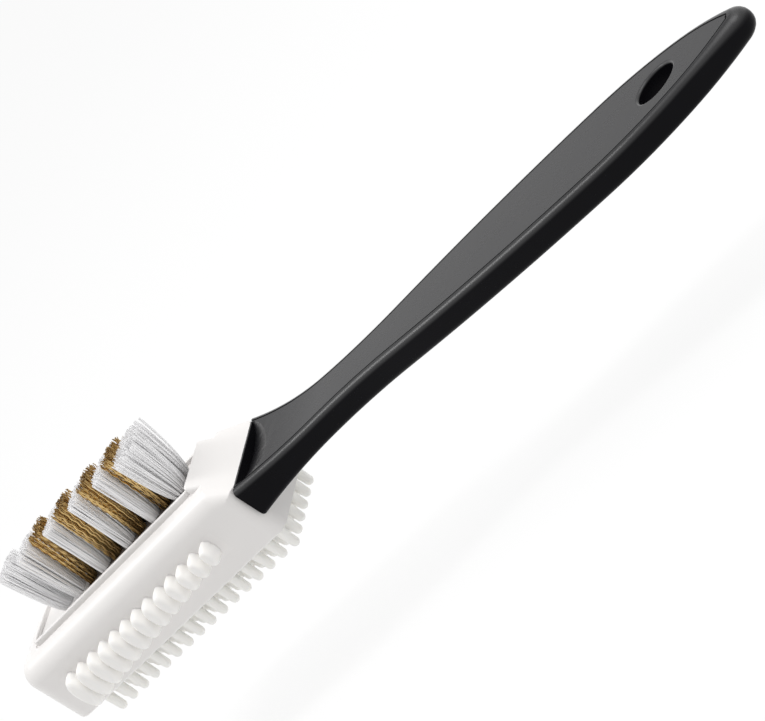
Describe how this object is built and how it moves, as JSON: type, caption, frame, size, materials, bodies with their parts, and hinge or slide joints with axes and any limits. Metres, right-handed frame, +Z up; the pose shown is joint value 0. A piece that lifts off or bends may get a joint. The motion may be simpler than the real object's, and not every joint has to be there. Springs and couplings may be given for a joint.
{
  "type": "suede brush",
  "caption": "Long-handled suede brush: moulded head with brass and nylon tufts on top, a row of rubber blades on one side, a rubber comb underneath and a hanging hole in the handle.",
  "frame": {"origin": "middle of the hanging hole, on its axis, half-way through the handle", "axes": "+X along the head towards the handle's tip, +Z up out of the tufted side, square to the head; the rubber blades are on the -Y side; the handle and its hole lean 1.5 degrees"},
  "size_m": [0.253, 0.0332, 0.046],
  "materials": {
    "handle_plastic": "satin",
    "head_plastic": "satin",
    "block_plastic": "satin",
    "nylon_bristle": "clear",
    "brass_bristle": "drawn wire",
    "anchor_wire": "plain",
    "blade_rubber": "smooth",
    "comb_rubber": "smooth"
  },
  "bodies": {
    "root": {"handle": "handle_plastic", "head": "head_plastic", "bristle_block": "block_plastic", "nylon_anchors": "anchor_wire", "brass_anchors": "anchor_wire", "blade_strip": "blade_rubber", "comb_pad": "comb_rubber", "nylon_row_1": "nylon_bristle", "nylon_row_2": "nylon_bristle", "nylon_row_3": "nylon_bristle", "nylon_row_4": "nylon_bristle", "nylon_row_5": "nylon_bristle", "nylon_row_6": "nylon_bristle", "brass_row_1": "brass_bristle", "brass_row_2": "brass_bristle", "brass_row_3": "brass_bristle", "brass_row_4": "brass_bristle"}
  },
  "joints": []
}
